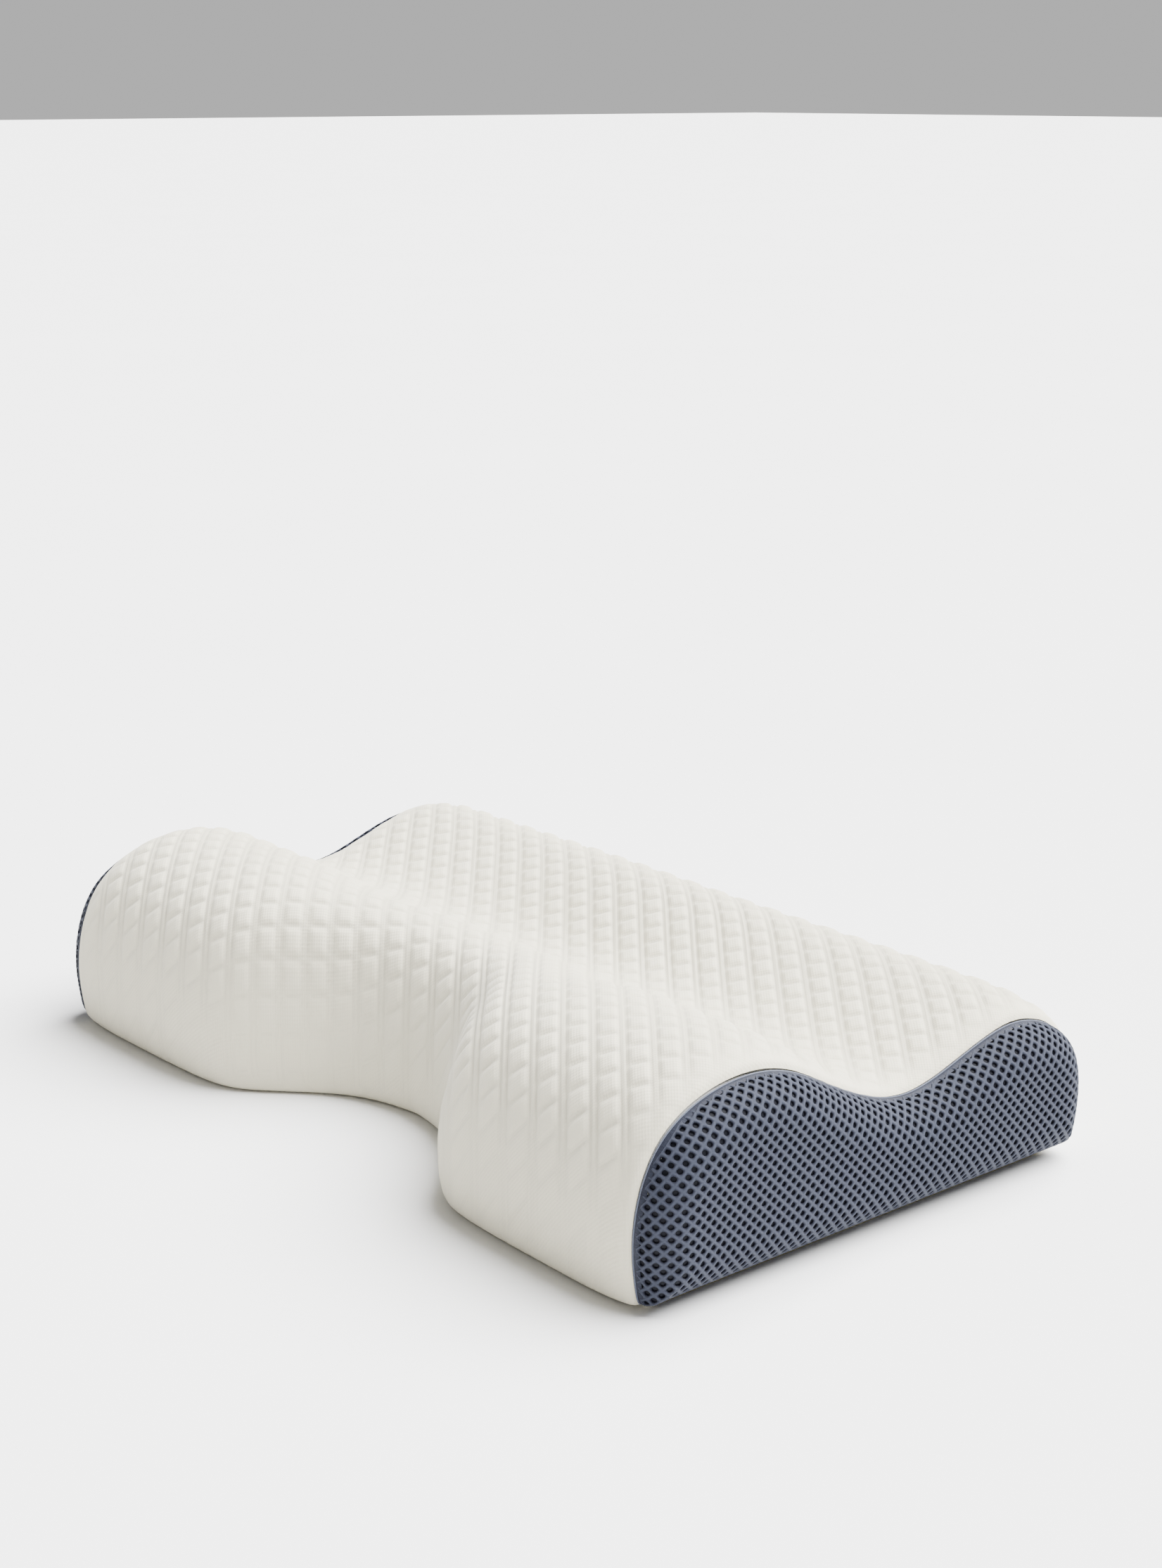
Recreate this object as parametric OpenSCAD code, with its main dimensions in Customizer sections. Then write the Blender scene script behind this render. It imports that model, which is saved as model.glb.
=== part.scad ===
// Contoured bed pillow: a moulded foam core in a thin liner, inside a zipped cover of
// quilted knit with spacer-mesh end panels.
// +X runs along the length, -Y is the shoulder side with the curved cut-out, +Z is up.
// The origin is on the floor, at the middle of the pillow's box.

/* [Pillow] */
// Length over the two bulging mesh ends, halfway through the depth
pillow_l = 600; // [560:1:640]
// Depth at the ends, from the shoulder side to the back
pillow_d = 342; // [334:1:356]
// How far each mesh end stands out past its seam
end_bulge = 21; // [17:1:22]
// How far the back corners reach out past the middle of each end
end_flare = 5; // [0:0.5:6]

/* [Section near the ends] */
// Height of the front lobe
end_front_h = 123; // [116:1:128]
// Height of the hollow between the lobes
end_hollow_h = 79; // [74:1:86]
// Height of the back lobe
end_back_h = 98; // [92:1:103]
// Run from the front face to the front lobe's crown
end_front_run = 73; // [64:1:80]
// Run from the back face to the back lobe's crown
end_back_run = 51; // [42:1:62]
// Place of the hollow, behind the middle
end_hollow_y = 28; // [22:1:36]
// How far the front face leans over the cut, positive to the back
end_lean = -6; // [-8:0.5:4]

/* [Section at the end seams] */
// Height of the front lobe
seam_front_h = 115.5; // [110:0.5:122]
// Height of the hollow
seam_hollow_h = 77.5; // [72:0.5:84]
// Height of the back lobe
seam_back_h = 93; // [88:0.5:98]
// Run from the back face to the back lobe's crown
seam_back_run = 60; // [50:1:66]
// How far the section draws in at the seams
end_tuck = 5; // [0:0.5:6]
// Length over which it draws in
tuck_l = 46; // [36:1:54]

/* [Section at the middle] */
// Height of the front edge behind the cut-out
mid_front_h = 101; // [92:1:110]
// Height of the hollow
mid_hollow_h = 77; // [70:1:84]
// Height of the back lobe
mid_back_h = 101; // [94:1:104]
// Run from the front face to the front edge's crown
mid_front_run = 50; // [42:1:62]
// Place of the hollow, behind the middle
mid_hollow_y = 30; // [24:1:40]
// How far the front face leans back
mid_lean = 2; // [-6:0.5:8]
// How far the front face tucks in under the edge of the cut-out
mid_under = 2; // [0:0.5:10]
// How far the back lobe's face draws in
back_waist = 5.5; // [0:0.5:6]
// Distance from the middle where the heights reach those near the ends
height_reach = 168; // [140:1:220]
// Distance from the middle where the front face starts to ease out
steep_from = 20; // [0:1:90]
// Distance from the middle where the front face is eased out like the ends
steep_to = 170; // [150:1:220]

/* [Shoulder cut-out] */
// Depth of the hollow cut into the shoulder side
cut_depth = 69; // [50:1:72]
// Half the width of the cut-out, at the middle of its slanting ends
cut_half_w = 106; // [100:1:125]
// Slope of the cut-out's ends, depth over length
cut_slope = 1.3; // [0.9:0.1:1.4]
// Softness of the corners between the cut-out and the lobes
cut_soft = 25; // [15:1:30]
// Softness of the corners inside the cut-out
cut_inner_soft = 46; // [25:1:55]

/* [Layers] */
// Thickness of the cover's fabrics
cover_t = 3; // [2:0.2:3.4]
// Room between the cover and the liner
cover_slack = 1.8; // [1.6:0.1:2.4]
// Thickness of the liner
liner_t = 0.8; // [0.5:0.1:1]
// Gap between pieces that lie against each other
lay_gap = 1; // [0.8:0.1:1.5]
// Width of the sewn seam between two panels
seam_w = 0.8; // [0.6:0.1:1.2]

/* [Zipper] */
// Length of the slit in the lower back
slit_l = 470; // [420:5:470]
// Height of the slit
slit_h = 16; // [14:1:17]
// Height of the zipper's middle above the floor
zip_z = 30; // [28:1:32]
// Depth of the tape's outer face behind the back of the box
zip_in = 2.4; // [2.2:0.1:2.5]
// Thickness of the tape
tape_t = 0.5; // [0.4:0.1:0.6]
// Width of one coil
coil_w = 2.2; // [1.8:0.1:2.4]
// Thickness of one coil
coil_t = 1.4; // [1.2:0.1:1.5]
// Slot between the two coils, where their loops mesh
mesh_slot = 1.2; // [1:0.1:1.4]
// Travel of the slider from closed to open
slider_travel = 412; // [300:1:412]
// Length of the slider's body
slider_l = 10; // [8:0.5:11]
// Length of the pull tab from its hinge
pull_l = 22; // [16:1:24]

/* [Label] */
// Width of the blank care label
label_w = 32; // [20:1:45]
// Place of the label along the zipper
label_x = -150; // [-190:5:190]

/* [Hidden] */

// Layers, as depths below the cover's outer face
liner_in = cover_t + cover_slack;
core_in = liner_in + liner_t + lay_gap;

// Lengths along X
seam_x = pillow_l / 2 - end_bulge;     // the end seams' distance from the middle
slices = 36;                           // sections between the end seams
span_steps = 2;                        // points on each span of a section's curve
roll_steps = 4;                        // rings in the roll of an end panel
roll_share = 1.2;                      // how much further an end rolls in than out
end_shoulder = 0.14;                   // how far in the front face's top rounds over,
mid_shoulder = 0.36;                   // as a share of the run to the crown

// Underside panel, inside the rounded lower edges
base_front_in = 18;
base_back_in = 28;
base_end_in = 14;
outline_step = 10;

// Zipper
tape_y = pillow_d / 2 - zip_in;        // the tape's outer face
play = 0.3;                            // between the slider and what it runs over
coil_l = slider_travel + slider_l + 2;
plate_t = 0.7;
flange_w = 0.8;
slider_half_w = mesh_slot / 2 + coil_w + play + flange_w;
front_plate = coil_t + play;           // the front plate's inner face, out from the tape
hinge_out = front_plate + plate_t + 1.2;
pin_r = 0.5;
eye_r = 1;
eye_clearance = 0.1;
pull_neck_w = 3.6;
pull_w = 8;
pull_t = 1;
lug_t = 0.7;
lug_half_l = 0.9;
stop_l = 4;
stitch_l = 2.8;
stitch_pitch = 4;
stitch_t = 0.35;
stitch_z = slit_h / 2 - 1.3;
label_t = 0.4;
label_drop = 17;
label_out = 0.8;                       // past the tape's face, just clear of the knit

// Colours
knit_white = [0.92, 0.91, 0.87];
mesh_blue = [0.36, 0.40, 0.50];
foam_cream = [0.97, 0.93, 0.78];
liner_white = [0.96, 0.96, 0.96];
tape_white = [0.86, 0.86, 0.84];
metal_grey = [0.66, 0.67, 0.69];
thread_grey = [0.55, 0.58, 0.64];

// ---- The pillow's surface ----

function mix(a, b, t) = a * (1 - t) + b * t;
function soft_max(a, b, k) = (a + b + sqrt(pow(a - b, 2) + k * k)) / 2;
function soft_min(a, b, k) = a + b - soft_max(a, b, k);

// 1 up to near, 0 from far on, smooth between
function eased(x, near, far) =
    let (t = min(max((far - abs(x)) / (far - near), 0), 1)) t * t * (3 - 2 * t);

// The cut-out in plan: a flat middle between two slanting ends, with soft corners.
// cut_share is 1 at the middle of the pillow and 0 at its ends.
function cut_in(x) =
    soft_min(cut_depth, soft_max(0, cut_slope * (cut_half_w - abs(x)), cut_soft), cut_inner_soft);
function cut_share(x) = max(cut_in(x) - cut_in(seam_x), 0) / (cut_in(0) - cut_in(seam_x));
function front_y(x) = -pillow_d / 2 + cut_depth * cut_share(x);

// 0 over most of the length, rising like a quarter ellipse to 1 at the end seams
function seam_share(x) =
    let (u = max(abs(x) - (seam_x - tuck_l), 0) / tuck_l) 1 - sqrt(max(1 - u * u, 0));

// The section's guide points [y, z] at x, from under the front edge, up over the top and
// down the back. The section is also drawn in by roll, where an end panel rolls over.
function guide(x, roll) =
    let (
        cut = cut_share(x),
        seam = seam_share(x),
        wide = eased(x, 0, height_reach),
        steep = eased(x, steep_from, steep_to),
        f = front_y(x) + roll,
        s = pillow_d / 2 - roll,
        b = s - back_waist * wide,
        fh = mix(mix(end_front_h, seam_front_h, seam), mid_front_h, wide) - 2 * roll,
        nh = mix(mix(end_hollow_h, seam_hollow_h, seam), mid_hollow_h, wide) - 2 * roll,
        bh = mix(mix(end_back_h, seam_back_h, seam), mid_back_h, wide) - 2 * roll,
        run = mix(end_front_run, mid_front_run, steep),
        back_run = mix(end_back_run, seam_back_run, seam),
        n = mix(end_hollow_y, mid_hollow_y, wide),
        lean = mix(end_lean, mid_lean, steep),
        under = mid_under * cut
    )
    [for (p = [
        [f + 10 + under, 0], [f + 1 + 0.6 * under, 0.5 + 0.1 * under],
        [f - 1 + lean / 5, 16 + 0.6 * under], [f + lean, 0.42 * fh + 0.5 * under],
        [f + run * mix(end_shoulder, mid_shoulder, steep), 0.86 * fh],
        [f + run * 0.85, 1.04 * fh], [f + run * 1.48, fh],
        [(f + run + n) / 2 + 4, (fh + nh) / 2 - 1],
        [n - 17, nh - 3], [n + 11, nh - 3],
        [(b - back_run + n) / 2 - 2, (bh + nh) / 2 - 1],
        [b - back_run * 1.3, bh], [b - back_run * 0.8, 1.05 * bh],
        [b - back_run * 0.11, 0.87 * bh],
        [s + 1.6, 0.48 * bh], [s - 2.4, 17], [s - 9, 0.5], [s - 23, 0],
        [s * 0.62, 0], [s * 0.2, 0], [f * 0.3, 0], [f * 0.66, 0]
    ]) p + [0, roll]];

// Moves closed guide points inwards by depth
function drawn_in(points, depth) =
    let (n = len(points))
    [for (i = [0:n - 1])
        let (
            along = points[(i + 1) % n] - points[(i + n - 1) % n],
            out = [-along[1], along[0]] / norm(along)
        )
        points[i] - out * depth];

// A closed uniform cubic B-spline through the guide points
function smooth_curve(points) =
    let (n = len(points))
    [for (i = [0:n - 1], k = [0:span_steps - 1])
        let (
            t = k / span_steps,
            p0 = points[i],
            p1 = points[(i + 1) % n],
            p2 = points[(i + 2) % n],
            p3 = points[(i + 3) % n]
        )
        (pow(1 - t, 3) * p0 + (3 * pow(t, 3) - 6 * t * t + 4) * p1
            + (-3 * pow(t, 3) + 3 * t * t + 3 * t + 1) * p2 + pow(t, 3) * p3) / 6];

// One ring of points round the pillow at x, which lies out past it by push
function ring(x, depth, roll = 0, push = 0) =
    [for (p = smooth_curve(drawn_in(guide(x, roll), depth + end_tuck * seam_share(x))))
        let (swing = end_flare * pow(x / seam_x, 2) * p[0] / (pillow_d / 2))
        [x + sign(x) * (push + swing), p[0], p[1]]];

function span_rings(depth, reach) =
    [for (i = [0:slices]) ring(mix(-reach, reach, i / slices), depth)];

// The rings of the roll at one end, from the seam out
function roll_rings(depth, side) =
    let (r = end_bulge - depth)
    [for (i = [1:roll_steps])
        let (a = 90 * i / roll_steps)
        ring(side * seam_x, depth, roll_share * r * (1 - cos(a)), r * sin(a))];

function reversed(list) = [for (i = [len(list) - 1:-1:0]) list[i]];

// A closed solid through rings that run towards +X
module loft(rings) {
    n = len(rings[0]);
    last = len(rings) - 1;
    polyhedron(
        points = [for (r = rings) each r],
        faces = concat(
            [[for (j = [n - 1:-1:0]) j]],
            [for (i = [0:last - 1], j = [0:n - 1])
                let (a = i * n + j, b = i * n + (j + 1) % n)
                each [[a, b, b + n], [a, b + n, a + n]]],
            [[for (j = [0:n - 1]) last * n + j]]
        )
    );
}

// A closed hoop through rings, out along +X and back inside; the last joins the first
module hoop(rings) {
    n = len(rings[0]);
    m = len(rings);
    polyhedron(
        points = [for (r = rings) each r],
        faces = [for (i = [0:m - 1], j = [0:n - 1])
            let (
                k = (j + 1) % n,
                a = i * n,
                b = (i + 1) % m * n
            )
            each [[a + j, a + k, b + k], [a + j, b + k, b + j]]]
    );
}

// The whole pillow, drawn in by depth
module whole(depth) {
    loft(concat(
        reversed(roll_rings(depth, -1)), span_rings(depth, seam_x), roll_rings(depth, 1)
    ));
}

// The rings of one end panel's face, from just past the seam out
function cap_rings(depth) =
    concat([ring(seam_x, depth, 0, seam_w / 2)], roll_rings(depth, 1));

// ---- Filling ----

module foam_core() {
    color(foam_cream) whole(core_in);
}

// The liner is a bag with its mouth round the flat part of the left end. Its rings run
// along the inside from the right end to the mouth, and back along the outside.
module inner_liner() {
    inside = liner_in + liner_t;
    color(liner_white) loft(concat(
        reversed(roll_rings(inside, 1)), reversed(span_rings(inside, seam_x)),
        roll_rings(inside, -1), reversed(roll_rings(liner_in, -1)),
        span_rings(liner_in, seam_x), roll_rings(liner_in, 1)
    ));
}

// ---- Cover ----

// Outline of the underside panel, grown by grow
module base_outline(grow) {
    half_l = seam_x - base_end_in;
    back = pillow_d / 2 - base_back_in + grow;
    n = ceil(2 * half_l / outline_step);
    front = [for (i = [0:n])
        let (x = mix(-half_l, half_l, i / n)) [x, front_y(x) + base_front_in - grow]];
    corner = front_y(half_l) + base_front_in - grow;
    polygon(concat(
        [[-half_l - grow, corner]], front,
        [[half_l + grow, corner], [half_l + grow, back], [-half_l - grow, back]]
    ));
}

module cover_top() {
    reach = seam_x - seam_w / 2;
    color(knit_white) difference() {
        hoop(concat(span_rings(0, reach), reversed(span_rings(cover_t, reach))));
        translate([0, 0, -1]) linear_extrude(cover_t + 2) base_outline(seam_w);
        translate([-slit_l / 2, pillow_d / 2 - cover_t - 6, zip_z - slit_h / 2])
            cube([slit_l, cover_t + 12, slit_h]);
    }
}

module cover_base() {
    color(knit_white) linear_extrude(cover_t) base_outline(0);
}

module base_seam() {
    color(thread_grey) translate([0, 0, 0.3]) linear_extrude(cover_t - 0.6)
        difference() {
            base_outline(seam_w - 0.1);
            base_outline(0.1);
        }
}

module end_panel() {
    color(mesh_blue) loft(concat(reversed(cap_rings(cover_t)), cap_rings(0)));
}

module end_panel_right() {
    end_panel();
}

module end_panel_left() {
    mirror([1, 0, 0]) end_panel();
}

// The sewn edges of knit and mesh, turned in between the two panels
module end_seam() {
    half = seam_w / 2 - 0.1;
    inside = cover_t + 1;
    color(thread_grey) hoop([
        ring(seam_x, 0.6, 0, -half), ring(seam_x, 0.6, 0, half),
        ring(seam_x, inside, 0, half), ring(seam_x, inside, 0, -half)
    ]);
}

module end_seam_right() {
    end_seam();
}

module end_seam_left() {
    mirror([1, 0, 0]) end_seam();
}

// ---- Zipper ----

// The zipper's parts are drawn round its own middle, with +Y out of the tape's face
module at_zipper() {
    translate([0, tape_y, zip_z]) children();
}

module tape(side) {
    inner = mesh_slot / 2;
    width = slit_h / 2 - inner - 0.1;
    color(tape_white) at_zipper()
        translate([-slit_l / 2 + 0.1, -tape_t, side > 0 ? inner : -inner - width])
            cube([slit_l - 0.2, tape_t, width]);
}

module zipper_tape_upper() {
    tape(1);
}

module zipper_tape_lower() {
    tape(-1);
}

// A bar of the coil's outer size, flat on the tape and round outside
module coil(side) {
    r = coil_t / 2;
    flat = coil_w - coil_t;
    color(tape_white) at_zipper()
        translate([-coil_l / 2, 0, side * (mesh_slot + coil_w) / 2])
            rotate([90, 0, 90]) linear_extrude(coil_l) union() {
                translate([0, -coil_w / 2]) square([r, coil_w]);
                translate([0, -flat / 2]) square([coil_t, flat]);
                for (end = [-1, 1]) translate([r, end * flat / 2]) circle(r = r, $fn = 32);
            }
}

module zipper_coil_upper() {
    coil(1);
}

module zipper_coil_lower() {
    coil(-1);
}

module stitch_row(side) {
    count = floor((slit_l - 2 * stitch_pitch) / stitch_pitch);
    start = -(count - 1) * stitch_pitch / 2;
    color(thread_grey) at_zipper() for (i = [0:count - 1])
        translate([start + i * stitch_pitch, stitch_t / 2, side * stitch_z])
            cube([stitch_l, stitch_t, 0.5], center = true);
}

module zip_stitching_upper() {
    stitch_row(1);
}

module zip_stitching_lower() {
    stitch_row(-1);
}

module stop(side) {
    width = mesh_slot + 2 * coil_w;
    color(metal_grey) at_zipper()
        translate([side * (coil_l / 2 + 0.2 + stop_l / 2), coil_t / 2 + 0.1, 0])
            cube([stop_l, coil_t + 0.2, width], center = true);
}

module zipper_top_stop() {
    stop(1);
}

module zipper_bottom_stop() {
    stop(-1);
}

// The slider stands at the closed end of its travel
module at_slider() {
    at_zipper() translate([slider_travel / 2, 0, 0]) children();
}

module zipper_slider() {
    half_l = slider_l / 2;
    back_face = -tape_t - play - plate_t;
    color(metal_grey) at_slider() union() {
        for (face = [back_face, front_plate])
            translate([-half_l, face, -slider_half_w])
                cube([slider_l, plate_t, 2 * slider_half_w]);
        for (side = [-1, 1])
            translate([-half_l, play, side > 0 ? slider_half_w - flange_w : -slider_half_w])
                cube([slider_l, front_plate - play + plate_t / 2, flange_w]);
        translate([half_l - 3, back_face, -0.3])
            cube([2.5, front_plate - back_face + plate_t, 0.6]);
        for (side = [-1, 1])
            translate([-lug_half_l, front_plate, side * (pull_neck_w / 2 + 0.2 + lug_t / 2)
                - lug_t / 2])
                cube([2 * lug_half_l, hinge_out - front_plate + 0.9, lug_t]);
        translate([0, hinge_out, -pull_neck_w / 2 - 0.4])
            cylinder(r = pin_r, h = pull_neck_w + 0.8, $fn = 32);
    }
}

module zipper_pull() {
    neck_l = 5;
    color(metal_grey) at_slider() translate([0, hinge_out, 0]) difference() {
        union() {
            translate([0, 0, -pull_neck_w / 2])
                cylinder(r = eye_r, h = pull_neck_w, $fn = 32);
            translate([-neck_l - 1, -pull_t / 2, -pull_neck_w / 2])
                cube([neck_l + 1, pull_t, pull_neck_w]);
            translate([-neck_l, pull_t / 2, 0]) rotate([90, 0, 0]) linear_extrude(pull_t)
                polygon([
                    [0, -pull_neck_w / 2], [0, pull_neck_w / 2], [-4, pull_w / 2],
                    [neck_l - pull_l + 2, pull_w / 2], [neck_l - pull_l, pull_w / 2 - 2],
                    [neck_l - pull_l, 2 - pull_w / 2], [neck_l - pull_l + 2, -pull_w / 2],
                    [-4, -pull_w / 2]
                ]);
        }
        translate([0, 0, -pull_neck_w]) cylinder(
            r = pin_r + eye_clearance, h = 2 * pull_neck_w, $fn = 32);
    }
}

// ---- Label ----

// A blank label, folded out of the slit's lower edge and hanging down the back
module care_label() {
    edge = zip_z - slit_h / 2;
    color(liner_white) translate([label_x - label_w / 2, tape_y, edge + 0.1])
        rotate([90, 0, 90]) linear_extrude(label_w)
            polygon([
                [0, 0], [label_out, 0], [label_out, -label_drop], [label_out + label_t, -label_drop],
                [label_out + label_t, label_t], [0, label_t]
            ]);
}

foam_core();
inner_liner();
cover_top();
cover_base();
base_seam();
end_panel_right();
end_panel_left();
end_seam_right();
end_seam_left();
zipper_tape_upper();
zipper_tape_lower();
zipper_coil_upper();
zipper_coil_lower();
zip_stitching_upper();
zip_stitching_lower();
zipper_top_stop();
zipper_bottom_stop();
zipper_slider();
zipper_pull();
care_label();
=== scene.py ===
"""Contoured bed pillow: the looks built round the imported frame.

Lengths in the section formulas are in millimetres, as in the CAD, and meshes are in metres.
"""

import math

import bpy
import numpy as np
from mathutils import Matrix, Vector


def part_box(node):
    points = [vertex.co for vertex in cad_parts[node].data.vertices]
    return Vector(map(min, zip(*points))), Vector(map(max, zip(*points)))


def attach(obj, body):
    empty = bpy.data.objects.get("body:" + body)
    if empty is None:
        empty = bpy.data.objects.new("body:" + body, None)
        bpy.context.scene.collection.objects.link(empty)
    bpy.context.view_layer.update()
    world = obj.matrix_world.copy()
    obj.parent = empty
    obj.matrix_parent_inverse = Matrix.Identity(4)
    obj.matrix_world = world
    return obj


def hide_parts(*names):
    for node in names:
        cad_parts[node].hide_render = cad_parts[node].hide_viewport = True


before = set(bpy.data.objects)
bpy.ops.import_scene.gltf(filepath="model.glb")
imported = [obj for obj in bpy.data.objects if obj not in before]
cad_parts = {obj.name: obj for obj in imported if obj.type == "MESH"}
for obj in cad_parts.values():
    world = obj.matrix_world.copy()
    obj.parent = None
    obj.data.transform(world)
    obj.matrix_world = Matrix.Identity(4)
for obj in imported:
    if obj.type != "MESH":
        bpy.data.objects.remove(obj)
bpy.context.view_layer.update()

MM = 0.001

# ---- Driving dimensions of the pillow's surface, as in the CAD ----
PILLOW_L, PILLOW_D, BULGE, FLARE = 600, 342, 21, 5
END = dict(front_h=123, hollow_h=79, back_h=98, back_run=51)
SEAM = dict(front_h=115.5, hollow_h=77.5, back_h=93, back_run=60)
MID = dict(front_h=101, hollow_h=77, back_h=101)
END_RUN, END_HOLLOW_Y, END_LEAN, END_SHOULDER = 73, 28, -6, 0.14
MID_RUN, MID_HOLLOW_Y, MID_LEAN, MID_SHOULDER, MID_UNDER = 50, 30, 2, 0.36, 2
WAIST, HEIGHT_REACH, STEEP_FROM, STEEP_TO = 5.5, 168, 20, 170
CUT_DEPTH, CUT_HALF_W, CUT_SLOPE, CUT_SOFT, CUT_INNER_SOFT = 69, 106, 1.3, 25, 46
END_TUCK, TUCK_L, ROLL_SHARE = 5, 46, 1.2
SEAM_X = PILLOW_L / 2 - BULGE
BASE_FRONT_IN, BASE_BACK_IN, BASE_END_IN = 18, 28, 14
LINER_IN, CORE_IN = 4.8, 6.6
SLIT_L, SLIT_H, ZIP_Z = 470, 16, 30
TAPE_Y = PILLOW_D / 2 - 2.4


# ---- The pillow's surface ----
def mix(a, b, t):
    return a * (1 - t) + b * t


def soft_max(a, b, k):
    return (a + b + np.sqrt((a - b) ** 2 + k * k)) / 2


def eased(x, near, far):
    t = np.clip((far - abs(x)) / (far - near), 0, 1)
    return t * t * (3 - 2 * t)


def smooth(t):
    t = np.clip(t, 0, 1)
    return t * t * (3 - 2 * t)


def cut_in(x):
    open_in = soft_max(0, CUT_SLOPE * (CUT_HALF_W - abs(x)), CUT_SOFT)
    return CUT_DEPTH + open_in - soft_max(CUT_DEPTH, open_in, CUT_INNER_SOFT)


def cut_share(x):
    return max(cut_in(x) - cut_in(SEAM_X), 0) / (cut_in(0) - cut_in(SEAM_X))


def front_y(x):
    return -PILLOW_D / 2 + CUT_DEPTH * cut_share(x)


def seam_share(x):
    u = max(abs(x) - (SEAM_X - TUCK_L), 0) / TUCK_L
    return 1 - math.sqrt(max(1 - u * u, 0))


def guide(x, roll):
    """Guide points [y, z] of the section at x, drawn in by roll at the ends."""
    cut, seam = cut_share(x), seam_share(x)
    wide, steep = eased(x, 0, HEIGHT_REACH), eased(x, STEEP_FROM, STEEP_TO)
    f, s = front_y(x) + roll, PILLOW_D / 2 - roll
    b = s - WAIST * wide
    fh, nh, bh = (
        mix(mix(END[k], SEAM[k], seam), MID[k], wide) - 2 * roll
        for k in ("front_h", "hollow_h", "back_h")
    )
    run, lean = mix(END_RUN, MID_RUN, steep), mix(END_LEAN, MID_LEAN, steep)
    back, n = mix(END["back_run"], SEAM["back_run"], seam), mix(END_HOLLOW_Y, MID_HOLLOW_Y, wide)
    under = MID_UNDER * cut
    points = [
        [f + 10 + under, 0], [f + 1 + 0.6 * under, 0.5 + 0.1 * under],
        [f - 1 + lean / 5, 16 + 0.6 * under], [f + lean, 0.42 * fh + 0.5 * under],
        [f + run * mix(END_SHOULDER, MID_SHOULDER, steep), 0.86 * fh],
        [f + run * 0.85, 1.04 * fh], [f + run * 1.48, fh],
        [(f + run + n) / 2 + 4, (fh + nh) / 2 - 1], [n - 17, nh - 3], [n + 11, nh - 3],
        [(b - back + n) / 2 - 2, (bh + nh) / 2 - 1], [b - back * 1.3, bh],
        [b - back * 0.8, 1.05 * bh], [b - back * 0.11, 0.87 * bh], [s + 1.6, 0.48 * bh],
        [s - 2.4, 17], [s - 9, 0.5], [s - 23, 0],
        [s * 0.62, 0], [s * 0.2, 0], [f * 0.3, 0], [f * 0.66, 0],
    ]
    return np.array(points) + [0, roll]


def drawn_in(points, depth):
    along = np.roll(points, -1, 0) - np.roll(points, 1, 0)
    out = np.stack([-along[:, 1], along[:, 0]], 1) / np.linalg.norm(along, axis=1)[:, None]
    return points - out * depth


def smooth_curve(points, steps):
    """A closed uniform cubic B-spline, as steps points on each span."""
    t = (np.arange(steps) / steps)[None, :, None]
    p0, p1, p2, p3 = (np.roll(points, -k, 0)[:, None, :] for k in range(4))
    curve = (
        (1 - t) ** 3 * p0 + (3 * t**3 - 6 * t * t + 4) * p1
        + (-3 * t**3 + 3 * t * t + 3 * t + 1) * p2 + t**3 * p3
    ) / 6
    return curve.reshape(-1, 2)


def section(x, depth=0.0, roll=0.0, steps=24):
    """The closed section at x as [y, z] points."""
    return smooth_curve(drawn_in(guide(x, roll), depth + END_TUCK * seam_share(x)), steps)


def placed(x, yz, push=0.0):
    """Section points as [x, y, z], with the end's flare."""
    swing = FLARE * (x / SEAM_X) ** 2 * yz[:, 0] / (PILLOW_D / 2)
    return np.column_stack([x + np.sign(x) * (push + swing), yz])


def spaced(line, weight):
    """Resamples a line at the given shares (0 to 1) of its weighted length."""
    step = np.linalg.norm(np.diff(line, axis=0), axis=1)
    along = np.concatenate([[0], np.cumsum(step)])
    at = weight * along[-1]
    return np.column_stack([np.interp(at, along, line[:, k]) for k in range(line.shape[1])])


# ---- Mesh helpers ----
def mesh_object(name, points, faces, materials):
    """A smooth-shaded mesh object from points in millimetres."""
    mesh = bpy.data.meshes.new(name)
    mesh.from_pydata((np.asarray(points, float) * MM).tolist(), [], faces)
    for m in materials:
        mesh.materials.append(m)
    mesh.polygons.foreach_set("use_smooth", [True] * len(mesh.polygons))
    mesh.validate()
    mesh.update()
    obj = bpy.data.objects.new(name, mesh)
    bpy.context.scene.collection.objects.link(obj)
    return obj


def grid_faces(rows, cols, start=0, closed=False):
    """Quads of a rows x cols grid of points; closed joins the last column to the first."""
    i, j = np.meshgrid(np.arange(rows - 1), np.arange(cols if closed else cols - 1), indexing="ij")
    i, j = i.ravel(), j.ravel()
    k = (j + 1) % cols
    return np.stack([i * cols + j, i * cols + k, (i + 1) * cols + k, (i + 1) * cols + j], 1) + start


def grid_normals(grid):
    """Outward normals of a grid of surface points that runs along +X and over the top."""
    du = np.gradient(grid, axis=0)
    dv = np.gradient(grid, axis=1)
    normal = np.cross(du, dv)
    return normal / np.maximum(np.linalg.norm(normal, axis=2, keepdims=True), 1e-9)


def store(obj, name, values):
    """Keeps a vector for each point, which the materials read."""
    attribute = obj.data.attributes.new(name, "FLOAT_VECTOR", "POINT")
    attribute.data.foreach_set("vector", np.asarray(values, np.float32).ravel())


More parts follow.
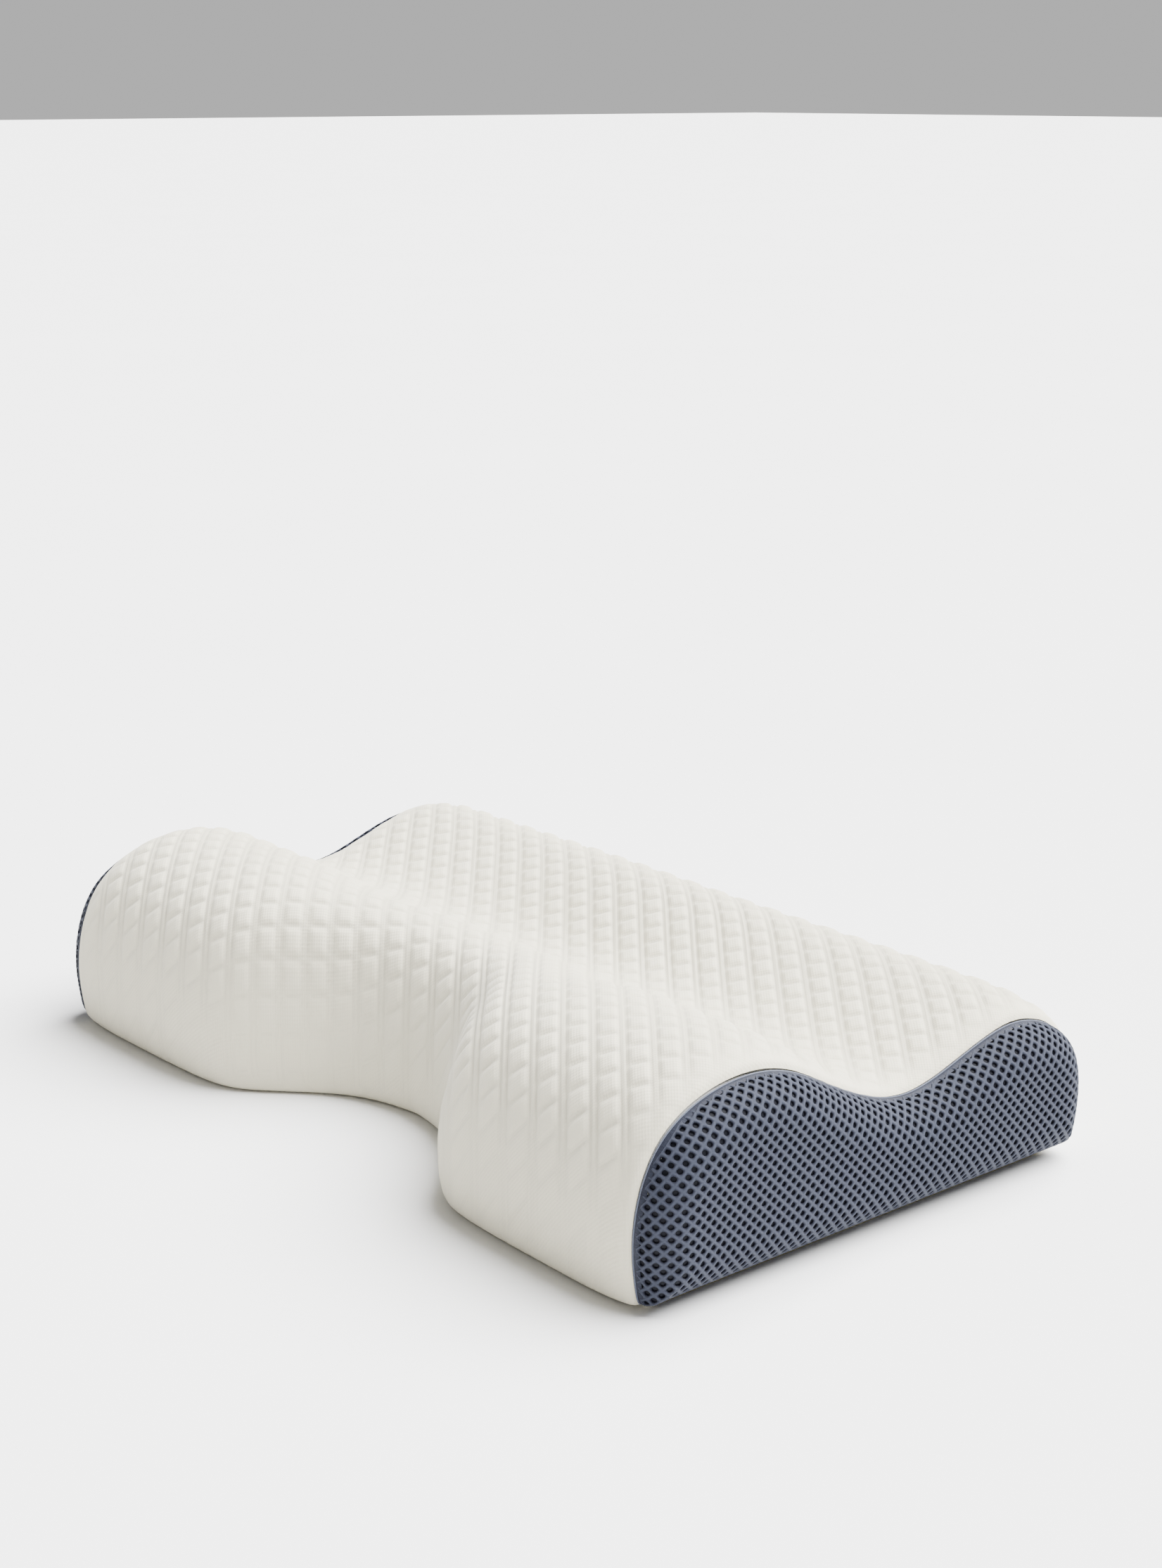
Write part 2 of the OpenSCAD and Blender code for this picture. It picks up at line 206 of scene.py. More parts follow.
def tube(path, radius, sides=8, closed=False, up=(0, 0, 1)):
    """Points and quads of a tube along a path."""
    path = np.asarray(path, float)
    n = len(path)
    if closed:
        along = np.roll(path, -1, 0) - np.roll(path, 1, 0)
    else:
        along = np.gradient(path, axis=0)
    along /= np.linalg.norm(along, axis=1)[:, None]
    across = np.cross(along, np.asarray(up, float))
    across /= np.maximum(np.linalg.norm(across, axis=1)[:, None], 1e-9)
    lift = np.cross(across, along)
    a = 2 * math.pi * np.arange(sides) / sides
    ring = np.cos(a)[None, :, None] * across[:, None] + np.sin(a)[None, :, None] * lift[:, None]
    points = (path[:, None] + radius * ring).reshape(-1, 3)
    faces = [list(f) for f in grid_faces(n, sides, closed=True)]
    if closed:
        last = (n - 1) * sides
        faces += [[last + j, last + (j + 1) % sides, (j + 1) % sides, j] for j in range(sides)]
    else:
        faces += [list(range(sides))[::-1], [(n - 1) * sides + j for j in range(sides)]]
    return points, faces


def joined(parts):
    """Joins (points, faces) pairs."""
    points, faces, start = [], [], 0
    for p, f in parts:
        points.append(np.asarray(p, float))
        faces += [[v + start for v in face] for face in f]
        start += len(p)
    return np.concatenate(points), faces


# ---- Materials ----
def new_material(name, colour, roughness, **sockets):
    m = bpy.data.materials.new(name)
    m.use_nodes = True
    shader = m.node_tree.nodes["Principled BSDF"]
    shader.inputs["Base Color"].default_value = (*colour, 1)
    shader.inputs["Roughness"].default_value = roughness
    for socket, value in sockets.items():
        shader.inputs[socket.replace("_", " ")].default_value = value
    return m


class Nodes:
    """Short calls to add and link shader nodes."""

    def __init__(self, material):
        self.tree = material.node_tree
        self.shader = self.tree.nodes["Principled BSDF"]

    def add(self, kind, **settings):
        node = self.tree.nodes.new(kind)
        for key, value in settings.items():
            setattr(node, key, value)
        return node

    def link(self, source, target):
        self.tree.links.new(source, target)

    def math(self, operation, a, b=None):
        node = self.add("ShaderNodeMath", operation=operation)
        for socket, value in zip(node.inputs, (a, b)):
            if value is None:
                continue
            if isinstance(value, (int, float)):
                socket.default_value = value
            else:
                self.link(value, socket)
        return node.outputs[0]

    def noise(self, vector, scale, detail=3.0):
        node = self.add("ShaderNodeTexNoise")
        node.inputs["Scale"].default_value = scale
        node.inputs["Detail"].default_value = detail
        self.link(vector, node.inputs["Vector"])
        return node.outputs["Fac"]

    def ramp(self, value, stops):
        node = self.add("ShaderNodeValToRGB")
        while len(node.color_ramp.elements) < len(stops):
            node.color_ramp.elements.new(0.5)
        for element, (place, colour) in zip(node.color_ramp.elements, stops):
            element.position = place
            element.color = (*colour, 1)
        self.link(value, node.inputs["Fac"])
        return node.outputs["Color"]

    def bump(self, height, strength, distance):
        node = self.add("ShaderNodeBump")
        node.inputs["Strength"].default_value = strength
        node.inputs["Distance"].default_value = distance
        self.link(height, node.inputs["Height"])
        self.link(node.outputs["Normal"], self.shader.inputs["Normal"])


def shade(colour, factor):
    return tuple(c * factor for c in colour)


WALE_PITCH, COURSE_PITCH, COURSE_LEAN = 0.0015, 0.0018, 0.0004


def knit_material(name, colour):
    """Cream jacquard knit: fine loops in diagonal wales, faint uneven dye, and painted shade in the
    quilt's grooves.
    """
    m = new_material(name, colour, 0.88, Sheen_Weight=0.25, Sheen_Roughness=0.5)
    n = Nodes(m)
    n.shader.inputs["Specular IOR Level"].default_value = 0.25
    cloth = n.add("ShaderNodeAttribute", attribute_name="cloth").outputs["Vector"]
    split = n.add("ShaderNodeSeparateXYZ")
    n.link(cloth, split.inputs[0])
    u, w, groove_shade = split.outputs
    wale = n.math("SINE", n.math("MULTIPLY", u, 2 * math.pi / WALE_PITCH))
    lean = n.math("ADD", w, n.math("MULTIPLY", n.math("ABSOLUTE", wale), COURSE_LEAN))
    course = n.math("SINE", n.math("MULTIPLY", lean, 2 * math.pi / COURSE_PITCH))
    loops = n.math("MULTIPLY", n.math("ADD", wale, course), 0.25)
    fuzz = n.noise(cloth, 900, 4)
    height = n.math("ADD", loops, n.math("MULTIPLY", fuzz, 0.5))
    n.bump(height, 0.35, 0.0004)
    patches = n.noise(cloth, 14, 3)
    fine = n.math("ADD", n.math("MULTIPLY", patches, 0.8), n.math("MULTIPLY", fuzz, 0.2))
    # Painted shade: the knit's colour is darker down in the grooves of the quilting.
    fine = n.math("SUBTRACT", fine, n.math("MULTIPLY", groove_shade, 0.42))
    n.link(
        n.ramp(fine, [(0.05, shade(colour, 0.84)), (0.5, colour), (0.8, shade(colour, 1.02))]),
        n.shader.inputs["Base Color"],
    )
    return m


def mesh_material(name, low, high):
    """Blue-grey yarn, with a painted highlight on the crowns of the strands and painted shade down into
    the holes.
    """
    m = new_material(name, high, 0.62)
    n = Nodes(m)
    n.shader.inputs["Specular IOR Level"].default_value = 0.2
    cloth = n.add("ShaderNodeAttribute", attribute_name="cloth").outputs["Vector"]
    split = n.add("ShaderNodeSeparateXYZ")
    n.link(cloth, split.inputs[0])
    crown = split.outputs[2]
    yarn = n.noise(cloth, 1600, 3)
    blotch = n.noise(cloth, 60, 2)
    # The fine yarn noise varies the yarn's tone at random and also paints bright specks of highlight on
    # the strands.
    level = n.math("ADD", n.math("MULTIPLY", yarn, 0.35), n.math("MULTIPLY", blotch, 0.25))
    # Painted highlight on the strands' crowns, fading to painted shade down the walls of the holes.
    level = n.math("ADD", level, n.math("MULTIPLY", crown, 0.45))
    n.link(n.ramp(level, [(0.3, low), (0.72, high)]), n.shader.inputs["Base Color"])
    n.bump(yarn, 0.5, 0.0004)
    return m


def woven_material(name, colour, pitch, roughness=0.8):
    """Plain woven yarns crossing at a pitch in metres, in object space."""
    m = new_material(name, colour, roughness)
    n = Nodes(m)
    place = n.add("ShaderNodeTexCoord").outputs["Object"]
    split = n.add("ShaderNodeSeparateXYZ")
    n.link(place, split.inputs[0])
    across = n.math("SINE", n.math("MULTIPLY", split.outputs[0], 2 * math.pi / pitch))
    lift = n.math("ADD", split.outputs[1], split.outputs[2])
    along = n.math("SINE", n.math("MULTIPLY", lift, 2 * math.pi / pitch))
    weave = n.math("MULTIPLY", across, along)
    grain = n.noise(place, 1400, 2)
    n.bump(n.math("ADD", weave, grain), 0.4, 0.0002)
    level = n.math("ADD", n.math("MULTIPLY", weave, 0.15), grain)
    n.link(
        n.ramp(level, [(0.3, shade(colour, 0.85)), (0.7, colour)]), n.shader.inputs["Base Color"]
    )
    return m


def foam_material(name, colour):
    """Open-cell foam: fine pits of two sizes."""
    m = new_material(name, colour, 0.95)
    n = Nodes(m)
    place = n.add("ShaderNodeTexCoord").outputs["Object"]
    cells = n.add("ShaderNodeTexVoronoi")
    cells.inputs["Scale"].default_value = 700
    n.link(place, cells.inputs["Vector"])
    pits = n.math("ADD", cells.outputs["Distance"], n.math("MULTIPLY", n.noise(place, 1500), 0.5))
    n.bump(pits, 0.6, 0.0006)
    n.link(
        n.ramp(n.noise(place, 25), [(0.35, shade(colour, 0.93)), (0.65, colour)]),
        n.shader.inputs["Base Color"],
    )
    return m


def metal_material(name, colour):
    """Tumbled zinc alloy, faintly brushed, with duller patches."""
    m = new_material(name, colour, 0.32, Metallic=1.0)
    n = Nodes(m)
    place = n.add("ShaderNodeTexCoord").outputs["Object"]
    stretch = n.add("ShaderNodeMapping")
    stretch.inputs["Scale"].default_value = (60, 1, 1)
    n.link(place, stretch.inputs["Vector"])
    brushed = n.noise(stretch.outputs["Vector"], 90, 4)
    worn = n.noise(place, 350, 3)
    n.link(n.math("ADD", n.math("MULTIPLY", worn, 0.3), 0.2), n.shader.inputs["Roughness"])
    n.bump(brushed, 0.15, 0.0001)
    n.link(
        n.ramp(worn, [(0.35, shade(colour, 0.8)), (0.6, colour)]), n.shader.inputs["Base Color"]
    )
    return m


KNIT = (0.68, 0.64, 0.50)
# The mesh's back colour is near-black: painted shade down in the holes, over a real back layer.
MESH_LOW, MESH_HIGH, MESH_BACK_HOLE_SHADE = (0.005, 0.006, 0.014), (0.036, 0.042, 0.064), (0.002, 0.003, 0.009)
knit = knit_material("knit_cream", KNIT)
mesh_yarn = mesh_material("mesh_blue", MESH_LOW, MESH_HIGH)
# A darker copy of the mesh material for the back layer, as painted shade in the holes.
mesh_back_hole_shade = mesh_material("mesh_back_hole_shade", shade(MESH_BACK_HOLE_SHADE, 0.6), MESH_BACK_HOLE_SHADE)
seam_dark = woven_material("seam_thread", (0.10, 0.115, 0.16), 0.0007)
seam_cream = woven_material("cream_thread", (0.66, 0.645, 0.60), 0.0007)
liner_knit = woven_material("liner_knit", (0.86, 0.86, 0.85), 0.0016)
tape_weave = woven_material("zip_tape_weave", (0.74, 0.735, 0.70), 0.0009)
label_satin = woven_material("label_satin", (0.88, 0.88, 0.87), 0.0005, 0.45)
coil_nylon = woven_material("coil_nylon", (0.80, 0.795, 0.77), 0.0011, 0.4)
foam_cells = foam_material("foam_cells", (0.88, 0.80, 0.56))
zip_alloy = metal_material("zip_alloy", (0.62, 0.63, 0.65))

# ---- Quilting ----
# The knit is cut on the bias: its double rows run at BIAS to the pillow's length.
BIAS = math.radians(49)
CELL = 16.0
PAIR_GAP, PAIR_WIDTH, PAIR_DEPTH = 3.4, 0.85, 0.85
ROW_WIDTH, ROW_DEPTH = 1.5, 0.6
PUFF = 1.15
MEAN_PUFF = 0.45
# Shares of the relief that stay on the steep front and back, and beside the end seams.
FRONT_RELIEF, BACK_RELIEF, END_RELIEF = 0.16, 0.5, 0.15
END_FADE, SLACK = 22, 0.5
WELT_DIP, WELT_REACH = 1.3, 2.2
LIP_DIP, LIP_REACH, LIP_NEAR = 0.5, 2.2, 6
# A stored vector is in millimetres and is scaled by MM, so this is 1 in a material.
STORED_ONE = 1000
# The crown value given to the mesh's edging strip and back layer: a middle step of the painted
# highlight.
STRIP_CROWN = 300.0


def quilt(u, w):
    """Height of the quilting in millimetres over cloth coordinates."""
    du = (u + CELL / 2) % CELL - CELL / 2
    dw = (w + CELL / 2) % CELL - CELL / 2
    pair = sum(
        np.exp(-(((du - side * PAIR_GAP / 2) / PAIR_WIDTH) ** 2)) for side in (-1, 1)
    )
    row = np.exp(-((dw / ROW_WIDTH) ** 2))
    inside_u = smooth((np.abs(du) - PAIR_GAP / 2) / (CELL / 2 - PAIR_GAP / 2) * 1.6)
    inside_w = smooth(np.abs(dw) / (CELL / 2) * 1.6)
    return PUFF * inside_u * inside_w - PAIR_DEPTH * pair - ROW_DEPTH * row * inside_u


def cloth_coordinates(x, y, run):
    """Cloth coordinates of points; run is the length along the section from the hollow."""
    behind = smooth((y - 90) / 60)
    across = mix(y, run, behind)
    u = x * math.cos(BIAS) + across * math.sin(BIAS)
    w = -x * math.sin(BIAS) + run * math.cos(BIAS)
    return u, w


# ---- Cover: the quilted knit ----
def over_the_top(x, depth, steps=24):
    """The section from the base seam's front, over the top, to the base seam's back."""
    yz = section(x, depth, steps=steps)
    order = np.argmax(yz[:, 1])
    yz = np.roll(yz, -order, 0)
    under = yz[:, 1] < depth + 6
    back = np.argmax(under & (yz[:, 0] > 0) & (yz[:, 0] < PILLOW_D / 2 - BASE_BACK_IN))
    front_edge = front_y(x) + BASE_FRONT_IN
    front = np.where(under & (yz[:, 0] < front_edge))[0][0]
    return np.concatenate([yz[front:], yz[:back + 1]])


TOP_ROWS, TOP_COLS = ((432, 455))


def cover_grid(depth, rows, cols, reach):
    xs = np.linspace(-reach, reach, rows)
    shares = np.linspace(0, 1, cols)
    return np.array([placed(x, spaced(over_the_top(x, depth), shares)) for x in xs])


def run_from_hollow(grid):
    """Length along each section from the hollow, positive to the back."""
    step = np.linalg.norm(np.diff(grid[:, :, 1:], axis=1), axis=2)
    along = np.concatenate([np.zeros((len(grid), 1)), np.cumsum(step, axis=1)], axis=1)
    start = np.array([np.interp(END_HOLLOW_Y, g[:, 1][: len(g) * 2 // 3], a[: len(g) * 2 // 3])
                      for g, a in zip(grid, along)])
    return along - start[:, None] + END_HOLLOW_Y


def cover_top():
    grid = cover_grid(0, TOP_ROWS, TOP_COLS, SEAM_X - 0.2)
    normal = grid_normals(grid)
    run = run_from_hollow(grid)
    x, y, z = grid[..., 0], grid[..., 1], grid[..., 2]
    u, w = cloth_coordinates(x, y, run)
    facing = smooth((normal[..., 2] - 0.05) / 0.5)
    front = y < END_HOLLOW_Y
    amount = np.where(front, mix(FRONT_RELIEF, 1.0, facing), mix(BACK_RELIEF, 1.0, facing))
    end_in = SEAM_X - np.abs(x - np.sign(x) * FLARE * y / (PILLOW_D / 2))
    amount = amount * mix(END_RELIEF, 1.0, smooth((end_in - 3) / END_FADE))
    amount = amount * smooth((z - 1) / 10)
    slack = SLACK * np.sin(x / 41 + 1.3 * np.sin(y / 53)) * np.sin(run / 47 + 0.7)
    relief = quilt(u, w)
    height = (relief - MEAN_PUFF) * amount + slack * smooth((end_in - 6) / 30) * smooth((z - 4) / 14)
    height = height - WELT_DIP * np.exp(-((end_in / WELT_REACH) ** 2))
    slit = np.maximum(np.abs(z - ZIP_Z) - SLIT_H / 2, np.abs(x) - SLIT_L / 2)
    at_back = y > PILLOW_D / 4
    falloff = np.exp(-((np.maximum(slit, 0) / LIP_REACH) ** 2))
    lip = np.where(at_back & (slit < LIP_NEAR), falloff, 0)
    height = height * (1 - lip) - LIP_DIP * lip
    points = (grid + normal * height[..., None]).reshape(-1, 3)
    faces = grid_faces(TOP_ROWS, TOP_COLS)
    centre = points[faces].mean(axis=1)
    in_slit = (
        (centre[:, 1] > PILLOW_D / 4)
        & (np.abs(centre[:, 2] - ZIP_Z) < SLIT_H / 2)
        & (np.abs(centre[:, 0]) < SLIT_L / 2)
    )
    faces = faces[~in_slit][:, ::-1]
    obj = mesh_object("quilted_cover", points, faces.tolist(), [knit])
    # Painted shade for the knit's material: how deep each point lies in a groove of the quilting.
    groove_shade = np.clip((0.35 - relief) / 1.1, 0, 1) * amount
    store(obj, "cloth", np.stack([u, w, groove_shade * STORED_ONE], -1).reshape(-1, 3) * MM)
    return obj


cover = cover_top()
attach(cover, "pillow")
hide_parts("cover_top")


BASE_LIFT = 0.15


def base_line_y(x, grow):
    return front_y(x) + BASE_FRONT_IN - grow, PILLOW_D / 2 - BASE_BACK_IN + grow


def cover_base():
    """The flat underside, with the strips of the top knit that turn under at the ends."""
    xs = np.linspace(-(SEAM_X - 0.2), SEAM_X - 0.2, 281)
    points, u_w = [], []
    for x in xs:
        front, back = base_line_y(x, 0.6)
        y = np.linspace(front, back, 151)
        z = np.full_like(y, BASE_LIFT)
        points.append(placed(x, np.column_stack([y, z])))
        u_w.append(np.column_stack([
            x * math.cos(BIAS) + y * math.sin(BIAS), -x * math.sin(BIAS) + y * math.cos(BIAS), 0 * y
        ]))
    grid, cloth = np.array(points), np.array(u_w)
    inside = (SEAM_X - BASE_END_IN) - np.abs(grid[..., 0])
    edge = smooth((inside - 1) / 12) * smooth(inside / 3)
    grid[..., 2] += 0.55 * (1 - edge * (0.5 + 0.5 * quilt(cloth[..., 0], cloth[..., 1]) / PUFF))
    seam_dip = np.exp(-((inside / 1.2) ** 2))
    grid[..., 2] += 0.8 * seam_dip
    faces = grid_faces(*grid.shape[:2])[:, ::-1]
    obj = mesh_object("underside_panel", grid.reshape(-1, 3), faces.tolist(), [knit])
    store(obj, "cloth", cloth.reshape(-1, 3) * MM)
    return obj


base = cover_base()
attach(base, "pillow")
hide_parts("cover_base")


STITCH_STEP = 4


def base_stitching():
    """Overlocked thread round the underside panel."""
    half = SEAM_X - BASE_END_IN
    line = [(x, base_line_y(x, 0)[0]) for x in np.arange(-half, half + 1, STITCH_STEP)]
    back = base_line_y(0, 0)[1]
    line += [(half, y) for y in np.arange(line[-1][1] + STITCH_STEP, back, STITCH_STEP)]
    line += [(x, back) for x in np.arange(half, -half - 1, -STITCH_STEP)]
    front = base_line_y(half, 0)[0]
    line += [(-half, y) for y in np.arange(back - STITCH_STEP, front, -STITCH_STEP)]
    line = np.array(line)
    parts = []
    for a, b in zip(line, np.roll(line, -1, 0)):
        along = b - a
        if np.linalg.norm(along) < 1:
            continue
        p, q = a + along * 0.14, a + along * 0.86
        path = [[*p, 0.75], [*(p + (q - p) * 0.25), 0.45], [*(p + (q - p) * 0.75), 0.45], [*q, 0.75]]
        parts.append(tube(path, 0.35, 6))
    return mesh_object("underside_stitching", *joined(parts), [seam_cream])


stitching = base_stitching()
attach(stitching, "pillow")
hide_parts("base_seam")

# ---- End panels: spacer mesh ----
HOLE_PITCH, ROW_PITCH = 7.0, 3.45
HOLE_A, HOLE_B = 1.5, 1.42
PANEL_STEPS = 20
FACE_THICK = 1.3
EXTRA_CLOTH = 7.0
EDGING = 2.4
BACK_DEPTH, BACK_STEP = 1.9, 3.0
CHUNK = 3000


class Panel:
    """Maps points of flat mesh cloth to their places on a rolled end panel."""

    def __init__(self, side, depth):
        self.side = side
        self.r = BULGE - depth
        self.reach = ROLL_SHARE * self.r
        self.outline = section(side * SEAM_X, depth, steps=PANEL_STEPS)
        along = np.roll(self.outline, -1, 0) - np.roll(self.outline, 1, 0)
        self.inward = np.stack([along[:, 1], -along[:, 0]], 1)
        self.inward /= np.linalg.norm(self.inward, axis=1)[:, None]
        angle = np.linspace(0, math.pi / 2, 200)
        past = self.reach * (1 - np.cos(angle))
        step = np.hypot(np.diff(past), self.r * np.diff(np.sin(angle)))
        length = np.concatenate([[0], np.cumsum(step)])
        self.cloth = length * (self.reach + EXTRA_CLOTH) / length[-1]
        self.past = past

    def nearest(self, flat):
        """Signed distance inside the outline, and the inward direction, of flat points."""
        start = self.outline
        seg = np.roll(start, -1, 0) - start
        size = (seg**2).sum(1)
        inside, inward = np.zeros(len(flat)), np.zeros((len(flat), 2))
        for lo in range(0, len(flat), CHUNK):
            p = flat[lo:lo + CHUNK]
            rel = p[:, None] - start[None]
            t = np.clip((rel * seg).sum(-1) / size, 0, 1)
            gap = rel - t[..., None] * seg
            dist = (gap**2).sum(-1)
            k = dist.argmin(1)
            rows = np.arange(len(p))
            tk = t[rows, k][:, None]
            n = self.inward[k] * (1 - tk) + self.inward[(k + 1) % len(start)] * tk
            n /= np.linalg.norm(n, axis=1)[:, None]
            inside[lo:lo + CHUNK] = np.sqrt(dist[rows, k]) * np.sign((gap[rows, k] * n).sum(1))
            inward[lo:lo + CHUNK] = n
        return inside, inward

    def x_at(self, yz):
        """How far out the panel lies over points of its own outline's plane."""
        inside = np.maximum(self.nearest(yz)[0], 0)
        cos = np.clip(1 - inside / self.reach, 0, 1)
        return SEAM_X + self.r * np.sqrt(1 - cos**2) + FLARE * yz[:, 0] / (PILLOW_D / 2)

    def at(self, flat):
        """Places, outward normals and cloth lengths in from the seam, for flat points."""
        flat = np.asarray(flat, float)
        inside, inward = self.nearest(flat)
        cloth = inside + EXTRA_CLOTH
        past = np.where(cloth < self.cloth[-1], np.interp(cloth, self.cloth, self.past), inside)
        yz = flat + inward * (past - inside)[:, None]
        cos = np.clip(1 - past / self.reach, 0, 1)
        sin = np.sqrt(1 - cos**2)
        x = SEAM_X + self.r * sin + FLARE * yz[:, 0] / (PILLOW_D / 2)
        place = np.column_stack([self.side * x, yz])
        lean = self.r * cos
        normal = np.column_stack([self.side * self.reach * sin, -inward * lean[:, None]])
        return place, normal / np.linalg.norm(normal, axis=1)[:, None], cloth


def mesh_panel(side, name):
    """The face of the spacer mesh: a knitted lattice with a hole in every diamond."""
    panel = Panel(side, 0.35)
    lo, hi = panel.outline.min(0) - EXTRA_CLOTH, panel.outline.max(0) + EXTRA_CLOTH
    rows = np.arange(math.floor(lo[1] / ROW_PITCH), math.ceil(hi[1] / ROW_PITCH) + 1)
    cols = np.arange(math.floor(lo[0] / HOLE_PITCH), math.ceil(hi[0] / HOLE_PITCH) + 1)
    centres = np.array([
        [(c + 0.5 * (r % 2)) * HOLE_PITCH, r * ROW_PITCH] for r in rows for c in cols
    ])
    cloth = panel.at(centres)[2]
    centres = centres[cloth > EDGING - 0.4]
    diamond = np.array([[HOLE_PITCH / 2, 0], [0, ROW_PITCH], [-HOLE_PITCH / 2, 0], [0, -ROW_PITCH]])
    per_side = 3
    rim = np.concatenate([
        diamond[k] + (diamond[(k + 1) % 4] - diamond[k]) * np.arange(per_side)[:, None] / per_side
        for k in range(4)
    ])
    angle = np.arctan2(rim[:, 1] / HOLE_B, rim[:, 0] / HOLE_A)
    hole = np.column_stack([HOLE_A * np.cos(angle), HOLE_B * np.sin(angle)])
    # Each ring's crown runs from 1 on the strand's top to 0 down in the hole. It weights the knots'
    # relief, and in the material it paints a highlight on the tops and shade in the holes.
    rings = [(rim * (1 - s) + hole * s, lift, crown) for s, lift, crown in (
        (0.0, 0.0, 1.0), (0.4, -0.05, 0.8), (0.8, -0.35, 0.35), (1.0, -0.75, 0.0),
    )]
    rings.append((hole * 1.03, -FACE_THICK, 0.0))
    n = len(rim)
    flat = np.concatenate([centres[:, None] + ring[None] for ring, _, _ in rings], axis=1)
    flat = flat.reshape(-1, 2)
    lift = np.tile(np.repeat([r[1] for r in rings], n), len(centres))
    crown = np.tile(np.repeat([r[2] for r in rings], n), len(centres))
    place, normal, cloth = panel.at(flat)
    knot = np.cos(flat[:, 0] * 2 * math.pi / HOLE_PITCH) * np.cos(flat[:, 1] * math.pi / ROW_PITCH)
    lift = lift + 0.14 * crown * knot - 0.25 * np.maximum(EDGING - cloth, 0)
    points = place + normal * lift[:, None]
    j = np.arange(n)
    k = (j + 1) % n
    quads = np.concatenate([
        np.stack([r * n + j, r * n + k, (r + 1) * n + k, (r + 1) * n + j], 1)
        for r in range(len(rings) - 1)
    ])
    if side < 0:
        quads = quads[:, ::-1]
    starts = np.arange(len(centres)) * n * len(rings)
    faces = (quads[None] + starts[:, None, None]).reshape(-1, 4)
    strip_past = np.interp([EDGING + 1.4, EDGING, EDGING * 0.5, 0.05], panel.cloth, panel.past)
    strip = np.concatenate([panel.outline + panel.inward * d for d in strip_past])
    cos = np.repeat(1 - strip_past / panel.reach, len(panel.outline))
    sin = np.sqrt(1 - cos**2)
    x = SEAM_X + panel.r * sin + FLARE * strip[:, 0] / (PILLOW_D / 2)
    inward = np.tile(panel.inward, (4, 1))
    strip_normal = np.column_stack([side * panel.reach * sin, -inward * (panel.r * cos)[:, None]])
    strip_normal /= np.linalg.norm(strip_normal, axis=1)[:, None]
    strip_lift = np.repeat([-0.7, -0.25, -0.1, -0.6], len(panel.outline))
    strip_points = np.column_stack([side * x, strip]) + strip_normal * strip_lift[:, None]
    strip_faces = grid_faces(4, len(panel.outline), len(points), closed=True)
    if side > 0:
        strip_faces = strip_faces[:, ::-1]
    obj = mesh_object(
        name, np.concatenate([points, strip_points]),
        np.concatenate([faces, strip_faces]).tolist(), [mesh_yarn],
    )
    strip_cloth = np.column_stack([strip, np.full(len(strip), STRIP_CROWN)])
    store(obj, "cloth", np.concatenate([np.column_stack([flat, crown * STORED_ONE]), strip_cloth]) * MM)
    return obj


def mesh_backing(side, name):
    """The closed back layer of the spacer mesh, coloured near-black as painted shade down in the holes.
    """
    panel = Panel(side, BACK_DEPTH)
    lo, hi = panel.outline.min(0) - EXTRA_CLOTH, panel.outline.max(0) + EXTRA_CLOTH
    y, z = np.arange(lo[0], hi[0], BACK_STEP), np.arange(lo[1], hi[1], BACK_STEP)
    flat = np.stack(np.meshgrid(y, z, indexing="ij"), -1).reshape(-1, 2)
    points, _, cloth = panel.at(flat)
    faces = grid_faces(len(y), len(z))
    faces = faces[(cloth[faces] > 0.3).all(axis=1)]
    obj = mesh_object(name, points, (faces if side > 0 else faces[:, ::-1]).tolist(), [mesh_back_hole_shade])
    store(obj, "cloth", np.column_stack([flat, np.full(len(flat), STRIP_CROWN)]) * MM)
    return obj


def end_seam(side, name):
    """The sewn edge between knit and mesh: a fine welt with its line of thread."""
    ring = placed(side * SEAM_X, section(side * SEAM_X, 0.75, steps=16), 0.1)
    return mesh_object(name, *tube(ring, 0.5, 8, closed=True, up=(1, 0, 0)), [seam_dark])


for side, word in ((1, "right"), (-1, "left")):
    face = mesh_panel(side, f"mesh_panel_{word}")
    backing = mesh_backing(side, f"mesh_backing_{word}")
    welt = end_seam(side, f"end_welt_{word}")
    for piece in (face, backing, welt):
        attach(piece, "pillow")
    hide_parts(f"end_panel_{word}")
    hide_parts(f"end_seam_{word}")


# ---- Filling ----
def closed_shell(depth, rows=64, steps=5, open_left=False):
    """Points and faces of the pillow drawn in by depth, with rolled ends.

    open_left leaves out the flat of the left end.
    """
    r = BULGE - depth
    angles = np.radians([22.5, 45, 67.5, 90])
    panels = {side: Panel(side, depth) for side in (-1, 1)}
    rings = [placed(x, section(x, depth, steps=steps)) for x in np.linspace(-SEAM_X, SEAM_X, rows)]
    for a in angles:
        for side in (-1, 1):
            roll = ROLL_SHARE * r * (1 - math.cos(a))
            yz = section(side * SEAM_X, depth, roll, steps)
            ring = placed(side * SEAM_X, yz, r * math.sin(a))
            ring[:, 0] = side * np.minimum(np.abs(ring[:, 0]), panels[side].x_at(yz))
            rings = [ring, *rings] if side < 0 else [*rings, ring]
    rings = np.array(rings)
    count = rings.shape[1]
    faces = grid_faces(len(rings), count, closed=True)[:, ::-1].tolist()
    last = (len(rings) - 1) * count
    faces.append([last + j for j in range(count)])
    if not open_left:
        faces.append(list(range(count))[::-1])
    return rings.reshape(-1, 3), faces


LINER_THICK = 0.8

foam = mesh_object("foam_block", *closed_shell(CORE_IN), [foam_cells])
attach(foam, "pillow")
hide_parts("foam_core")

